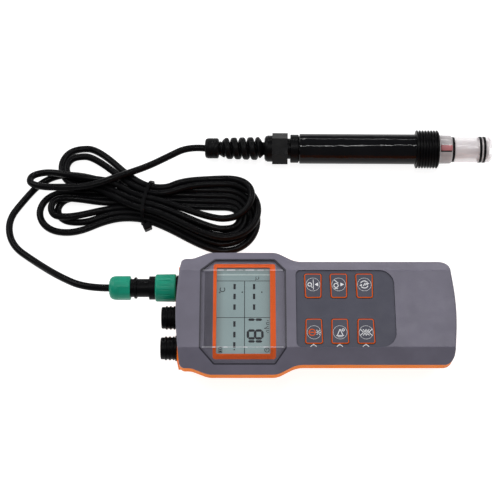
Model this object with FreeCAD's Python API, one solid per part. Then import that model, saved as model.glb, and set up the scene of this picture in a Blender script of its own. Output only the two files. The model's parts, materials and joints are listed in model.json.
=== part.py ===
"""Water quality probe: a handheld meter, one cable wound into a hank, and a dissolved-oxygen probe.

Millimetres, +Z up. The meter lies on its back on z = 0 with its sensor ports towards -X. The model is
drawn about the middle of the meter and moved at the end, so that the origin lies under the middle of
the box round the meter and the probe.
"""
import FreeCAD
import Part
import math
import os

V = FreeCAD.Vector

# ---- case of the meter: plan outline, heights
HALF_LENGTH = 84.5          # from the middle to the tip of each rounded end
END_BULGE = 2.7             # how far each end bows outwards
GRIP_HALF = 33.05           # half width of the narrow part, under the keys
HEAD_HALF = 39.15           # half width of the wide part, round the display
PORT_HALF = 35.1            # half width at the end with the ports
GRIP_X, HEAD_X0, HEAD_X1, PORT_X = -11.7, -23.3, -64.8, -75.0
TOP_Z = 43.4                # flat top
SEAM_Z = 35.1               # seam between the two case halves
BAND_Z = 28.0               # the lower half starts to taper here
RIDGE = 24.5                # half width of the flat top
TAPER, END_TAPER = 9.0, 3.0  # how far the sides and the ends draw in at the back
BACK_EDGE, TOP_ROUND = 1.5, 1.2     # bevel round the back, rounding of the ridges and the top's ends
WALL, ROOF, FLOOR = 2.5, 3.0, 3.5

# ---- display, from the lens down
LENS = ((-69.3, 24.5), (-61.0, 33.0), (-25.0, 33.0), (-18.6, 24.5))
LENS_THICK, GASKET_WIDE = 2.0, 0.8
BEZEL_OUT = (-62.0, -24.2, 30.4)        # x from, x to, half width
BEZEL_IN = (-60.0, -27.5, 27.5)
BEZEL_THICK = 1.2
GLASS_Z, GLASS_THICK = 37.9, 2.3
BOARD_Z0, BOARD_Z1 = 31.4, 33.0

# ---- keys
PAD = (-12.0, 47.7)                     # x range of the keypad overlay, which spans the ridges
PAD_SINK, PAD_THICK = 0.8, 0.8
KEY_X0, KEY_PITCH, KEY_Y = -1.49, 15.57, 14.46
KEY_IN, KEY_OUT = 6.7, 22.2             # inner and outer edge of a key, from the middle line
KEY_IN_HALF, KEY_OUT_HALF = 4.8, 5.25
KEY_GAP, KEY_FLANGE, KEY_TRAVEL = 0.35, 0.9, 0.6
KEY_TOP_Z = 43.0
DOME_Z = BOARD_Z1 + 0.3

# ---- sensor ports
PORT_Y = (19.6, 0.0, -19.6)             # the cable is on the first
PORT_Z = 24.9
PORT_TIP, PORT_SEAT = -94.0, -83.6
PORT_CREST, PORT_ROOT, PORT_BORE, PORT_SHANK = 14.5, 13.4, 10.0, 11.8
PORT_RECESS = 6.5

# ---- plug on the first port: x of its stations
PLUG_TAIL, PLUG_REAR, PLUG_CORE = -127.0, -115.0, -100.0    # nut's end, body's end, insert's end
PLUG_SEAL = (-125.0, PLUG_REAR)
NUT_FLATS, NUT_CORNER = (-121.5, -113.0), 8.35      # x range and corner radius of the nut's six flats
FLUTES, FLUTE_D, FLUTE_R = 18, 1.2, 8.95            # grips round the coupling ring
PIN_CIRCLE, PIN_D, CONTACT_D = 2.6, 1.0, 1.8
CONDUCTOR_D = 2.6                                   # the cable inside the plug and the barrel

# ---- case screws and battery bay
SCREWS = ((-72.3, 9.8), (-72.3, -9.8), (76.0, 18.0), (76.0, -18.0))
BOARD_SCREWS = ((-15.3, 20.5), (-15.3, -20.5), (53.0, 20.5), (53.0, -20.5))
BAY = (-37.0, 57.0, 11.6)               # x from, x to, half width
BAY_TOP, BAY_WALL = 15.0, 1.5
DOOR_LEDGE, DOOR_Z0, DOOR_Z1, LEDGE_Z = 6.0, 0.3, 1.7, 2.2
CELL_D, CELL_LONG, CELL_Y, CELL_Z = 10.5, 44.5, 5.6, 7.4
NUB_D, NUB_LONG, PLATE_THICK = 3.8, 1.0, 0.4
DOOR_SCREW_OUT, DOOR_SCREW_D = 4.0, 2.0  # how far outside the bay the door's screws stand
CHIPS = (                               # under the board: x, y, size along x and y, depth
    (-40.0, 0.0, 12.0, 12.0, 1.4), (-56.0, 12.0, 5.0, 6.2, 1.5), (-56.0, -12.0, 5.0, 6.2, 1.5),
    (-20.0, 8.0, 7.0, 4.4, 1.2), (8.0, -14.0, 5.0, 6.2, 1.5), (24.0, 10.0, 11.0, 4.7, 3.4),
)
BUZZER_X, BUZZER_D, BUZZER_DEEP = 58.0, 12.0, 5.0

# ---- probe, in its own frame: the axis along X, x as in the meter's frame
PROBE_LOW_X, PROBE_HIGH_X = -24.8, 70.3  # where the hexagon and the collar touch the table
HEX_R, HEX_TURN = 10.55, 12.7            # corner radius, and how far a corner leans from the vertical
COLLAR_R = 12.6
RELIEF_END, RELIEF_CORE, RELIEF_RIBS, RIB_PITCH = -69.6, 4.3, 5, 5.5
GLAND_SEAL, GLAND_HEX, SEAL_R = (-24.0, -16.0), (-24.8, -14.5), 5.5
BARREL_R, BARREL_BORE, BARREL_END = 10.0, 8.0, 78.0
STEM_R, ANODE_R, ANODE = 6.0, 5.0, (104.0, 111.5)
COLLAR_END, COLLAR_RIBS, COLLAR_PITCH = 85.4, 7, 1.87
CAP_BANDS, BAND_WIDE = (112.0, 114.6), 1.6
CAP_END, SLOT_DEPTH, SLOT_HALF, SLOT_TURN = 120.4, 2.0, 2.0, 36.0
PROBE_LEFT, PROBE_RIGHT = (RELIEF_END, 124.9), (121.7, 121.4)  # plan points of the axis

# ---- cable
CABLE_D = 4.6
TIE_X, TIE_Y, TIE_ANGLE = -107.2, 87.2, -11.3
WAIST_HALF, WAIST_Z0, WAIST_Z1 = 14.3, 1.2, 9.0
STRAP_HALF, STRAP_THICK = 1.1, 1.2
TIE_HEAD = (0.2, 5.6, -20.1, -15.1, 1.5, 7.0)   # beside the strap's low end: x, y and z ranges
HANK_TOP = 12.5
METER_LEAD = (
    (PLUG_TAIL, PORT_Y[0], PORT_Z), (-142.0, PORT_Y[0], PORT_Z), (-160.0, 29.5, 18.5), (-179.0, 45.0, 5.0),
    (-195.5, 57.5, 2.3), (-199.3, 75.0, 2.3), (-190.5, 91.0, 2.3), (-178.0, 103.0, 2.4),
)
PROBE_LEAD_OUT = (RELIEF_END, -83.0)     # the probe lead's first run, along the probe's axis
PROBE_LEAD = ((-95.5, 121.0, 5.4), (-107.5, 113.4, 6.0), (-119.4, 106.8, 8.8))

parts = {}


def box(x0, x1, y0, y1, z0, z1):
    return Part.makeBox(x1 - x0, y1 - y0, z1 - z0, V(x0, y0, z0))


def rod(x0, x1, diameter, y=0.0, z=0.0):
    """A cylinder along X."""
    return Part.makeCylinder(diameter / 2, x1 - x0, V(x0, y, z), V(1, 0, 0))


def tube(x0, x1, outer, inner, y=0.0, z=0.0):
    return rod(x0, x1, outer, y, z).cut(rod(x0, x1, inner, y, z))


def post(x, y, z0, z1, diameter):
    """A cylinder along Z."""
    return Part.makeCylinder(diameter / 2, z1 - z0, V(x, y, z0))


def lathe(profile, y=0.0, z=0.0):
    """A solid of revolution about X from (x, radius) points that start and end on the axis or a bore."""
    points = [V(x, radius, 0) for x, radius in profile]
    face = Part.Face(Part.makePolygon(points + points[:1]))
    solid = face.revolve(V(0, 0, 0), V(1, 0, 0), 360)
    return solid.translated(V(0, y, z))


def fused(shapes):
    shapes = list(shapes)
    return shapes[0].multiFuse(shapes[1:]) if len(shapes) > 1 else shapes[0]


def corner(before, point, after, radius):
    """The arc that rounds a corner, with its first and last points."""
    way_in = (point - before).normalize()
    way_out = (after - point).normalize()
    half = way_in.getAngle(way_out) / 2
    first = point - way_in * (radius * math.tan(half))
    last = point + way_out * (radius * math.tan(half))
    inward = (way_out - way_in).normalize()
    middle = point + inward * (radius / math.cos(half) - radius)
    return first, Part.Arc(first, middle, last).toShape(), last


def rounded(points, radii, closed=False):
    """A wire of straight runs joined by tangent arcs, one radius for each inner point."""
    edges = []
    count = len(points)
    inner = range(count) if closed else range(1, count - 1)
    corners = [corner(points[i - 1], points[i], points[(i + 1) % count], radii[i]) for i in inner]
    start = corners[-1][2] if closed else points[0]
    for first, arc, last in corners:
        if (first - start).Length > 1e-6:
            edges.append(Part.makeLine(start, first))
        edges.append(arc)
        start = last
    if not closed:
        edges.append(Part.makeLine(start, points[-1]))
    return Part.Wire(edges)


def prism(wire, z0, z1):
    """An upright prism from z0 to z1 on a flat closed wire."""
    face = Part.Face(wire)
    face.translate(V(0, 0, z0 - wire.BoundBox.ZMin))
    return face.extrude(V(0, 0, z1 - z0))


def plan(points, radius):
    """A closed plan wire with every corner rounded alike."""
    return rounded([V(x, y, 0) for x, y in points], [radius] * len(points), closed=True)


# ---------------------------------------------------------------- case halves
def outline(z, side=0.0, end=0.0):
    """The case's plan outline at height z, with the sides and the ends drawn in."""
    reach = HALF_LENGTH - end
    narrower = (1 - side / GRIP_HALF) ** 2      # keeps the ends equally curved
    bulge = END_BULGE * narrower
    half = [
        (reach - bulge, GRIP_HALF - side, 6.0),
        (GRIP_X, GRIP_HALF - side, 16.0),
        (HEAD_X0, HEAD_HALF - side, 12.0),
        (HEAD_X1, HEAD_HALF - side, 14.0),
        (PORT_X, PORT_HALF - side, 10.0),
        (-reach + bulge, PORT_HALF - side, 3.5),
    ]
    tip = reach + 0.9 * narrower    # the two straight halves of an end meet here, before rounding
    corners = [(tip, 0.0, 150.0)] + half + [(-tip, 0.0, 150.0)]
    corners += [(x, -y, radius) for x, y, radius in reversed(half)]
    return rounded([V(x, y, z) for x, y, _ in corners], [radius for _, _, radius in corners], closed=True)


def roof():
    """Flat top and sloped shoulders over the whole length, running past both ends."""
    far = HALF_LENGTH + 10
    side = [(far, GRIP_HALF), (GRIP_X, GRIP_HALF), (HEAD_X0, HEAD_HALF), (HEAD_X1, HEAD_HALF),
            (PORT_X, PORT_HALF), (-far, PORT_HALF)]
    eaves = rounded([V(x, y, SEAM_Z) for x, y in side], [0, 16.0, 12.0, 14.0, 10.0, 0]).Edges
    breaks = [edge.Vertexes[0].Point.x for edge in eaves] + [-far]
    mirrored = [edge.mirror(V(0, 0, 0), V(0, 1, 0)) for edge in eaves]
    low = Part.Wire(eaves + [Part.makeLine(V(-far, PORT_HALF, SEAM_Z), V(-far, -PORT_HALF, SEAM_Z))]
                    + mirrored[::-1]
                    + [Part.makeLine(V(far, -GRIP_HALF, SEAM_Z), V(far, GRIP_HALF, SEAM_Z))])
    ridge = [V(x, RIDGE, TOP_Z) for x in breaks] + [V(x, -RIDGE, TOP_Z) for x in reversed(breaks)]
    high = Part.makePolygon(ridge + ridge[:1])
    return Part.makeLoft([low, high], True, True)


ROOF_SOLID = roof()


def lowered(depth):
    return ROOF_SOLID.translated(V(0, 0, -depth))


def layer(shape, depth, thickness):
    """The part of an upright shape between depth and depth + thickness under the roof's surface."""
    return shape.common(lowered(depth)).cut(lowered(depth + thickness))


def tub(wall, floor_z):
    """The lower half's outer form with wall 0, and its hollow with a wall."""
    def section(z, more=0.0):
        down = (BAND_Z - z) / BAND_Z
        return outline(z, wall + TAPER * down + more, wall + END_TAPER * down + more)

    sections = [section(floor_z), section(BAND_Z)]
    if wall == 0.0:
        sections = [section(0.0, BACK_EDGE)] + [section(BACK_EDGE), section(BAND_Z)]
    band = prism(outline(BAND_Z, wall, wall), BAND_Z, SEAM_Z)
    return band.fuse(Part.makeLoft(sections, True, True)).removeSplitter()


def octagon(grow=0.0):
    """The lens's plan outline: eight corners, the same both sides of the middle line."""
    out = grow * 0.6
    (x0, y0), (x1, y1), (x2, y2), (x3, y3) = LENS
    half = [(x0 - grow, y0 + out), (x1 - out, y1 + grow), (x2 + out, y2 + grow), (x3 + grow, y3 + out)]
    return plan(half + [(x, -y) for x, y in reversed(half)], 1.0 + grow)


def rectangle(x0, x1, half, radius):
    return plan([(x0, half), (x1, half), (x1, -half), (x0, -half)], radius)


def pad_outline(shrink=0.0):
    x0, x1 = PAD[0] + shrink, PAD[1] - shrink
    half = RIDGE - shrink
    points = [V(x0, half, 0), V(x1, half, 0), V(x1, -half, 0), V(x0, -half, 0)]
    return rounded(points, [3.0, 9.0, 9.0, 3.0], closed=True)


def key_outline(column, row, grow=0.0):
    """A trapezoid, wider towards the long edge of the meter. row is 1 or -1."""
    x = KEY_X0 + KEY_PITCH * column
    inner, outer = KEY_IN - grow, KEY_OUT + grow
    points = [(x - KEY_IN_HALF - grow, row * inner), (x + KEY_IN_HALF + grow, row * inner),
              (x + KEY_OUT_HALF + grow, row * outer), (x - KEY_OUT_HALF - grow, row * outer)]
    return plan(points, 1.4 + grow)


KEYS = [(column, row) for row in (1, -1) for column in range(3)]


def case_seal():
    ring = prism(outline(0, 0.7, 0.7), SEAM_Z - 1.0, SEAM_Z)
    return ring.cut(prism(outline(0, 1.9, 1.9), SEAM_Z - 1.0, SEAM_Z))


def upper_shell():
    body = prism(outline(0), SEAM_Z, TOP_Z + 1).common(ROOF_SOLID).removeSplitter()
    body = body.makeFillet(TOP_ROUND, [edge for edge in body.Edges if edge.BoundBox.ZMin > TOP_Z - 0.01])
    hollow = prism(outline(0, WALL, WALL), SEAM_Z - 1, TOP_Z).common(lowered(ROOF))
    bosses = [post(x, y, 27.0, TOP_Z - ROOF, 6.5) for x, y in SCREWS]
    bosses += [post(x, y, BOARD_Z1, TOP_Z - ROOF, 5.0) for x, y in BOARD_SCREWS]
    body = body.cut(hollow).multiFuse(bosses)
    cuts = [post(x, y, 26.0, 36.0, 3.0) for x, y in SCREWS]
    cuts += [post(x, y, BOARD_Z1 - 1, BOARD_Z1 + 5.0, 2.0) for x, y in BOARD_SCREWS]
    cuts.append(prism(octagon(GASKET_WIDE), SEAM_Z, TOP_Z + 1).cut(lowered(LENS_THICK)))
    x0, x1, half = BEZEL_OUT
    cuts.append(prism(rectangle(x0, x1, half, 1.5), SEAM_Z, TOP_Z))
    cuts.append(prism(pad_outline(), TOP_Z - PAD_SINK - PAD_THICK, TOP_Z + 1))
    cuts += [prism(key_outline(c, r, KEY_GAP), TOP_Z - ROOF - 1, TOP_Z) for c, r in KEYS]
    return body.cut(fused(cuts))


def port_pad():
    """A flat pad inside the bowed end wall, which the port nuts clamp."""
    return box(PORT_SEAT, PORT_SEAT + 3.0, -30.0, 30.0, 14.0, SEAM_Z - 1.4)


def lower_shell():
    body = tub(0.0, 0.0)
    hollow = tub(WALL, FLOOR)
    x0, x1, half = BAY
    bay = box(x0 - BAY_WALL, x1 + BAY_WALL, -half - BAY_WALL, half + BAY_WALL, 1.0, BAY_TOP + BAY_WALL)
    posts = [post(x, y, 1.0, 26.8, 7.5) for x, y in SCREWS]
    door_posts = [post(x, 0.0, 1.0, 10.0, 5.0) for x in door_screw_places()]
    body = body.cut(hollow).multiFuse([port_pad(), bay] + posts + door_posts)
    cuts = [box(x0, x1, -half, half, 0.0, BAY_TOP)]
    cuts.append(prism(door_outline(), -1.0, LEDGE_Z))
    cuts += [post(x, y, -1.0, 27.0, 3.4).fuse(post(x, y, -1.0, 12.0, 6.2)) for x, y in SCREWS]
    cuts += [post(x, 0.0, 0.0, 8.0, DOOR_SCREW_D) for x in door_screw_places()]
    cuts += [rod(-90.0, PORT_SEAT, 17.0, y, PORT_Z) for y in PORT_Y]
    cuts += [rod(-90.0, -70.0, PORT_SHANK, y, PORT_Z) for y in PORT_Y]
    cuts += [rod(PORT_SEAT + 3.0, PORT_SEAT + 6.0, 17.6, y, PORT_Z) for y in PORT_Y]
    return body.cut(fused(cuts + [case_seal()]))


def case_screws():
    return fused(post(x, y, 12.0, 36.0, 3.0).fuse(post(x, y, 9.6, 12.0, 6.0)) for x, y in SCREWS)


# ---------------------------------------------------------------- display and keys
def bezel():
    x0, x1, half = BEZEL_OUT
    i0, i1, inner = BEZEL_IN
    ring = prism(rectangle(x0, x1, half, 1.5), SEAM_Z, TOP_Z)
    ring = ring.cut(prism(rectangle(i0, i1, inner, 0.8), SEAM_Z, TOP_Z))
    return layer(ring, LENS_THICK, BEZEL_THICK)


def display():
    parts["lcd_lens"] = layer(prism(octagon(), SEAM_Z, TOP_Z + 1), 0.0, LENS_THICK)
    ring = prism(octagon(GASKET_WIDE), SEAM_Z, TOP_Z + 1).cut(prism(octagon(), SEAM_Z, TOP_Z + 1))
    parts["lens_gasket"] = layer(ring, 0.1, LENS_THICK - 0.1)
    parts["display_frame"] = bezel()
    x0, x1 = BEZEL_IN[0] - 1.4, BEZEL_IN[1] + 1.9
    low = GLASS_Z - GLASS_THICK
    parts["lcd_glass"] = box(x0, x1, -28.1, 28.1, low, GLASS_Z)
    parts["lcd_backlight"] = box(x0 + 2.6, x1 - 2.6, -27.0, 27.0, BOARD_Z1, low)
    parts["connector_strips"] = Part.Compound([
        box(x, x + 1.8, -26.0, 26.0, BOARD_Z1, low) for x in (x0 + 0.4, x1 - 2.2)])


def keypad():
    top = TOP_Z - PAD_SINK
    overlay = prism(pad_outline(0.15), top - PAD_THICK, top)
    holes = [prism(key_outline(c, r, KEY_GAP), top - PAD_THICK - 1, top + 1) for c, r in KEYS]
    parts["keypad_overlay"] = overlay.cut(fused(holes))
    under = TOP_Z - ROOF - 0.3
    for column, row in KEYS:
        x = KEY_X0 + KEY_PITCH * column
        cap = prism(key_outline(column, row), under, KEY_TOP_Z)
        flange = prism(key_outline(column, row, KEY_FLANGE), under - 1.1, under)
        stem = post(x, row * KEY_Y, DOME_Z + KEY_TRAVEL + 0.3, under - 1.0, 4.0)
        side = "upper" if row > 0 else "lower"
        parts[f"key_{side}_{column + 1}"] = cap.multiFuse([flange, stem]).removeSplitter()
    parts["snap_domes"] = Part.Compound([
        post(KEY_X0 + KEY_PITCH * c, r * KEY_Y, BOARD_Z1, DOME_Z, 8.0) for c, r in KEYS])


def electronics():
    board = box(-67.4, 66.0, -28.4, 28.4, BOARD_Z0, BOARD_Z1)
    holes = [post(x, y, BOARD_Z0 - 1, BOARD_Z1 + 1, 2.0) for x, y in BOARD_SCREWS]
    parts["main_board"] = board.cut(fused(holes))
    parts["board_chips"] = Part.Compound([
        box(x - long / 2, x + long / 2, y - wide / 2, y + wide / 2, BOARD_Z0 - deep, BOARD_Z0)
        for x, y, long, wide, deep in CHIPS])
    parts["buzzer"] = post(BUZZER_X, 0.0, BOARD_Z0 - BUZZER_DEEP, BOARD_Z0, BUZZER_D)
    parts["board_screws"] = Part.Compound([
        post(x, y, BOARD_Z0, BOARD_Z1 + 5.0, 2.0).fuse(post(x, y, BOARD_Z0 - 1.4, BOARD_Z0, 3.8))
        for x, y in BOARD_SCREWS])


# ---------------------------------------------------------------- battery bay
def door_outline(shrink=0.0):
    x0, x1, half = BAY
    return rectangle(x0 - DOOR_LEDGE + shrink, x1 + DOOR_LEDGE - shrink, half + 3.0 - shrink, 3.0)


def door_screw_places():
    return BAY[0] - DOOR_SCREW_OUT, BAY[1] + DOOR_SCREW_OUT


def battery_bay():
    x0, x1, half = BAY
    drill = fused(post(x, 0.0, -1.0, 5.0, DOOR_SCREW_D) for x in door_screw_places())
    parts["battery_door"] = prism(door_outline(0.2), DOOR_Z0, DOOR_Z1).cut(drill)
    seal = prism(door_outline(0.6), DOOR_Z1, LEDGE_Z)
    mouth = prism(rectangle(x0 - 1.4, x1 + 1.4, half + 1.0, 1.0), DOOR_Z1, LEDGE_Z)
    parts["door_gasket"] = seal.cut(mouth).cut(drill)
    parts["door_screws"] = Part.Compound([
        post(x, 0.0, DOOR_Z0, 7.0, DOOR_SCREW_D) for x in door_screw_places()])
    cells, springs, plates = [], [], []
    for row in (1, -1):
        y = row * CELL_Y
        start = x0 + PLATE_THICK if row > 0 else x1 - PLATE_THICK - 2 * CELL_LONG
        for index in range(2):
            left = start + index * CELL_LONG
            shift = 0.0 if row > 0 else NUB_LONG
            can = rod(left + shift, left + shift + CELL_LONG - NUB_LONG, CELL_D, y, CELL_Z)
            cells.append(can.fuse(rod(left, left + CELL_LONG, NUB_D, y, CELL_Z)))
        end = start + 2 * CELL_LONG
        gap = (end, x1 - PLATE_THICK) if row > 0 else (x0 + PLATE_THICK, start)
        springs.append(tube(gap[0], gap[1], 6.0, 4.6, y, CELL_Z))
        for x in (x0, x1 - PLATE_THICK):
            plates.append(box(x, x + PLATE_THICK, y - 4.4, y + 4.4, 3.0, 12.4))
    parts["battery_cells"] = Part.Compound(cells)
    parts["battery_springs"] = Part.Compound(springs)
    parts["battery_contacts"] = Part.Compound(plates)


# ---------------------------------------------------------------- sensor ports
def sensor_port(y):
    """A threaded socket: flat-crested rings outside, a recess for the plug, a shank through the wall."""
    crest, root = PORT_CREST / 2, PORT_ROOT / 2
    profile = [(PORT_TIP, PORT_BORE / 2), (PORT_TIP, root - 0.4), (PORT_TIP + 0.4, root)]
    for start, end in ((-91.6, -90.2), (-89.2, -87.8), (-86.8, -85.5)):
        profile += [(start, root), (start + 0.3, crest), (end - 0.3, crest), (end, root)]
    profile += [(-85.1, root), (-85.1, 7.8), (PORT_SEAT - 0.8, 7.8), (PORT_SEAT - 0.8, 7.0)]
    profile += [(PORT_SEAT - 0.8, PORT_SHANK / 2), (-75.5, PORT_SHANK / 2), (-75.5, 4.5)]
    profile += [(PORT_TIP + PORT_RECESS, 4.5), (PORT_TIP + PORT_RECESS, PORT_BORE / 2)]
    body = lathe(profile, y, PORT_Z)
    return body.fuse(tube(PORT_SEAT - 0.8, PORT_SEAT, 15.6, 14.0, y, PORT_Z)).removeSplitter()


def pin_places(y):
    return [(y + PIN_CIRCLE * math.cos(math.radians(a)), PORT_Z + PIN_CIRCLE * math.sin(math.radians(a)))
            for a in (45, 135, 225, 315)]


def hexagon(x0, x1, corner_radius, bore, y, z, turn=0.0):
    points = []
    for step in range(6):
        angle = math.radians(60 * step + turn)
        points.append(V(x0, y + corner_radius * math.sin(angle), z + corner_radius * math.cos(angle)))
    solid = Part.Face(Part.makePolygon(points + points[:1])).extrude(V(x1 - x0, 0, 0))
    return solid.cut(rod(x0, x1, bore, y, z)) if bore else solid


def ports():
    face = PORT_TIP + PORT_RECESS
    inserts, contacts, nuts, seals = [], [], [], []
    for number, y in enumerate(PORT_Y, start=1):
        parts[f"sensor_port_{number}"] = sensor_port(y)
        insert = rod(face, -74.5, 9.0, y, PORT_Z)
        holes = fused(rod(face - 1, -74.0, CONTACT_D, py, pz) for py, pz in pin_places(y))
        inserts.append(insert.cut(holes))
        for py, pz in pin_places(y):
            contacts.append(rod(face, -72.4, CONTACT_D, py, pz).cut(rod(face, face + 6.0, PIN_D, py, pz)))
        nuts.append(hexagon(PORT_SEAT + 3.0, PORT_SEAT + 5.6, 8.6, PORT_SHANK, y, PORT_Z, 30))
        seals.append(tube(PORT_SEAT - 0.8, PORT_SEAT, 14.0, PORT_SHANK, y, PORT_Z))
    parts["port_inserts"] = Part.Compound(inserts)
    parts["port_contacts"] = Part.Compound(contacts)
    parts["port_nuts"] = Part.Compound(nuts)
    parts["port_seals"] = Part.Compound(seals)


# ---------------------------------------------------------------- plug on the first port
def plug():
    y = PORT_Y[0]
    face = PORT_TIP + PORT_RECESS
    parts["plug_body"] = lathe([
        (PLUG_REAR, 3.0), (PLUG_REAR, 5.7), (-111.7, 5.7), (-111.4, 6.65), (-110.0, 6.65), (-109.7, 5.7),
        (-102.2, 5.7), (-102.2, 7.3), (-98.7, 7.3), (-98.7, 6.0), (-95.6, 6.0), (-95.6, 7.2),
        (-94.2, 7.2), (-94.2, 4.8), (PLUG_CORE, 4.8), (PLUG_CORE, 3.0)], y, PORT_Z)
    holes = fused(rod(PLUG_CORE - 1, face + 1, PIN_D, py, pz) for py, pz in pin_places(y))
    parts["plug_insert"] = rod(PLUG_CORE, face, 9.6, y, PORT_Z).cut(holes)
    parts["plug_pins"] = Part.Compound([
        rod(PLUG_CORE + 0.5, face + 5.0, PIN_D, py, pz) for py, pz in pin_places(y)])
    ring = lathe([(-98.3, 6.1), (-98.3, 7.9), (-97.7, 8.5), (-86.2, 8.7), (-85.6, 8.2), (-85.6, 7.4),
                  (-95.9, 7.4), (-95.9, 6.1)], y, PORT_Z)
    flutes = []
    for step in range(FLUTES):
        angle = math.radians(360 / FLUTES * step)
        across, up = FLUTE_R * math.cos(angle), FLUTE_R * math.sin(angle)
        flutes.append(rod(-96.0, -89.0, FLUTE_D, y + across, PORT_Z + up))
    parts["coupling_ring"] = ring.cut(fused(flutes))
    seal0, seal1 = PLUG_SEAL
    nut = lathe([
        (PLUG_TAIL, CABLE_D / 2), (PLUG_TAIL, 4.6), (-126.5, 5.9), (-125.4, 6.9), (-123.8, 7.4), (-122.0, 7.5),
        (-114.3, 7.5), (-113.9, 7.1), (-113.9, 5.7), (seal1, 5.7), (seal1, 4.5), (seal0, 4.5),
        (seal0, CABLE_D / 2)], y, PORT_Z)
    waste = rod(*NUT_FLATS, 17.0, y, PORT_Z).cut(hexagon(*NUT_FLATS, NUT_CORNER, 0, y, PORT_Z))
    parts["plug_nut"] = nut.cut(waste)
    parts["plug_grommet"] = tube(seal0, seal1, 9.0, CABLE_D, y, PORT_Z)


# ---------------------------------------------------------------- probe
def probe_placement():
    """Lays the probe's own axis on the table: hexagon and collar touch it, and the plan points fit."""
    low = HEX_R * math.cos(math.radians(HEX_TURN))
    reach = PROBE_HIGH_X - PROBE_LOW_X
    tilt = math.atan((COLLAR_R - low) / reach)
    (x0, y0), (x1, y1) = PROBE_LEFT, PROBE_RIGHT
    yaw = math.atan2(y1 - y0, x1 - x0)
    turn = FreeCAD.Rotation(V(0, 0, 1), math.degrees(yaw)).multiply(
        FreeCAD.Rotation(V(0, 1, 0), -math.degrees(tilt)))
    start = V(x0, y0, (low + (x0 - PROBE_LOW_X) * math.sin(tilt)) / math.cos(tilt))
    return FreeCAD.Placement(start, turn).multiply(FreeCAD.Placement(V(-x0, 0, 0), FreeCAD.Rotation()))


def strain_relief():
    """A soft sleeve with an end cap and ribs that grow towards the gland."""
    bore, core, end = CABLE_D / 2, RELIEF_CORE, RELIEF_END
    profile = [(end, bore), (end, 5.6), (end + 1.0, 6.65), (-60.6, 6.65), (-60.3, 6.2), (-60.3, core)]
    for rib in range(RELIEF_RIBS):
        x = -58.2 + RIB_PITCH * rib
        crest = 7.0 + 0.17 * rib
        profile += [(x, core), (x + 0.6, crest - 0.6), (x + 1.3, crest), (x + 2.4, crest),
                    (x + 3.1, crest - 0.6), (x + 3.7, core)]
    return lathe(profile + [(GLAND_SEAL[0], core), (GLAND_SEAL[0], bore)])


def probe():
    solids = {"strain_relief": strain_relief(), "gland_nut": gland_nut()}
    solids["gland_grommet"] = tube(*GLAND_SEAL, 2 * SEAL_R, CABLE_D)
    bore, wall = CONDUCTOR_D / 2 + 1.1, BARREL_BORE
    solids["gland_body"] = lathe([
        (-16.0, bore), (-16.0, 6.5), (-14.5, 6.5), (-14.5, 6.8), (-12.8, 6.8), (-12.8, 9.0), (-12.4, 9.4),
        (-7.6, 9.4), (-7.2, 9.0), (-7.2, 8.4), (-6.8, 8.4), (-6.8, wall), (2.0, wall), (2.0, bore)])
    solids["probe_barrel"] = lathe([
        (-6.8, wall), (-6.8, 9.5), (-6.3, BARREL_R), (BARREL_END, BARREL_R), (BARREL_END, wall)])
    solids["thread_collar"] = thread_collar()
    solids["neck_sleeve"] = lathe([
        (COLLAR_END, STEM_R), (COLLAR_END, 10.0), (86.4, 9.5), (93.2, 9.3), (94.2, 8.6), (94.2, STEM_R)])
    anode0, anode1 = ANODE
    solids["electrode_stem"] = lathe([
        (60.0, 1.4), (60.0, wall), (COLLAR_END, wall), (COLLAR_END, STEM_R), (anode0, STEM_R),
        (anode0, ANODE_R), (112.0, ANODE_R), (112.0, 4.0), (117.2, 4.0), (117.2, 1.2), (110.0, 1.2),
        (110.0, 1.4)])
    solids["anode_sleeve"] = tube(anode0, anode1, 2 * ANODE_R + 1.0, 2 * ANODE_R)
    solids["cathode_tip"] = lathe([(110.0, 0), (110.0, 1.2), (117.4, 1.2), (117.4, 0)])
    solids["neck_oring"] = tube(94.3, 95.8, 16.6, 12.1)
    solids["membrane_cap"] = membrane_cap()
    bands = [tube(x, x + BAND_WIDE, 17.3, 15.6) for x in CAP_BANDS]
    solids["cap_orings"] = Part.Compound(bands)
    solids["membrane"] = rod(117.8, 118.1, 12.2)
    place = probe_placement()
    for name, solid in solids.items():
        parts[name] = moved(solid, place)


def gland_nut():
    """A domed nut with six flats, hollow for the seal and the gland's end."""
    hex0, hex1 = GLAND_HEX
    seal0, seal1 = GLAND_SEAL
    core = RELIEF_CORE
    dome = lathe([(-30.0, core), (-30.0, 6.8), (-29.2, 8.2), (-27.8, 8.75), (hex0, 8.75), (hex0, core)])
    nut = dome.fuse(hexagon(hex0, hex1, HEX_R, 0, 0, 0, HEX_TURN))
    nut = nut.cut(rod(hex0, seal0, 2 * core)).cut(rod(seal0, seal1, 2 * SEAL_R))
    return nut.cut(rod(seal1, hex1, 13.0)).removeSplitter()


def thread_collar():
    crest, root, start = COLLAR_R, COLLAR_R - 1.1, PROBE_HIGH_X
    profile = [(start, BARREL_R), (start, 11.4), (start + 0.4, crest), (start + 1.3, crest)]
    profile.append((start + 1.7, root))
    for rib in range(COLLAR_RIBS):
        x = start + 2.2 + COLLAR_PITCH * rib
        profile += [(x, root), (x + 0.35, crest), (x + 0.95, crest), (x + 1.3, root)]
    profile += [(COLLAR_END, root), (COLLAR_END, BARREL_BORE)]
    return lathe(profile + [(BARREL_END, BARREL_BORE), (BARREL_END, BARREL_R)])


def moved(shape, place):
    copy = shape.copy()
    copy.Placement = place.multiply(copy.Placement)
    return copy


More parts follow.
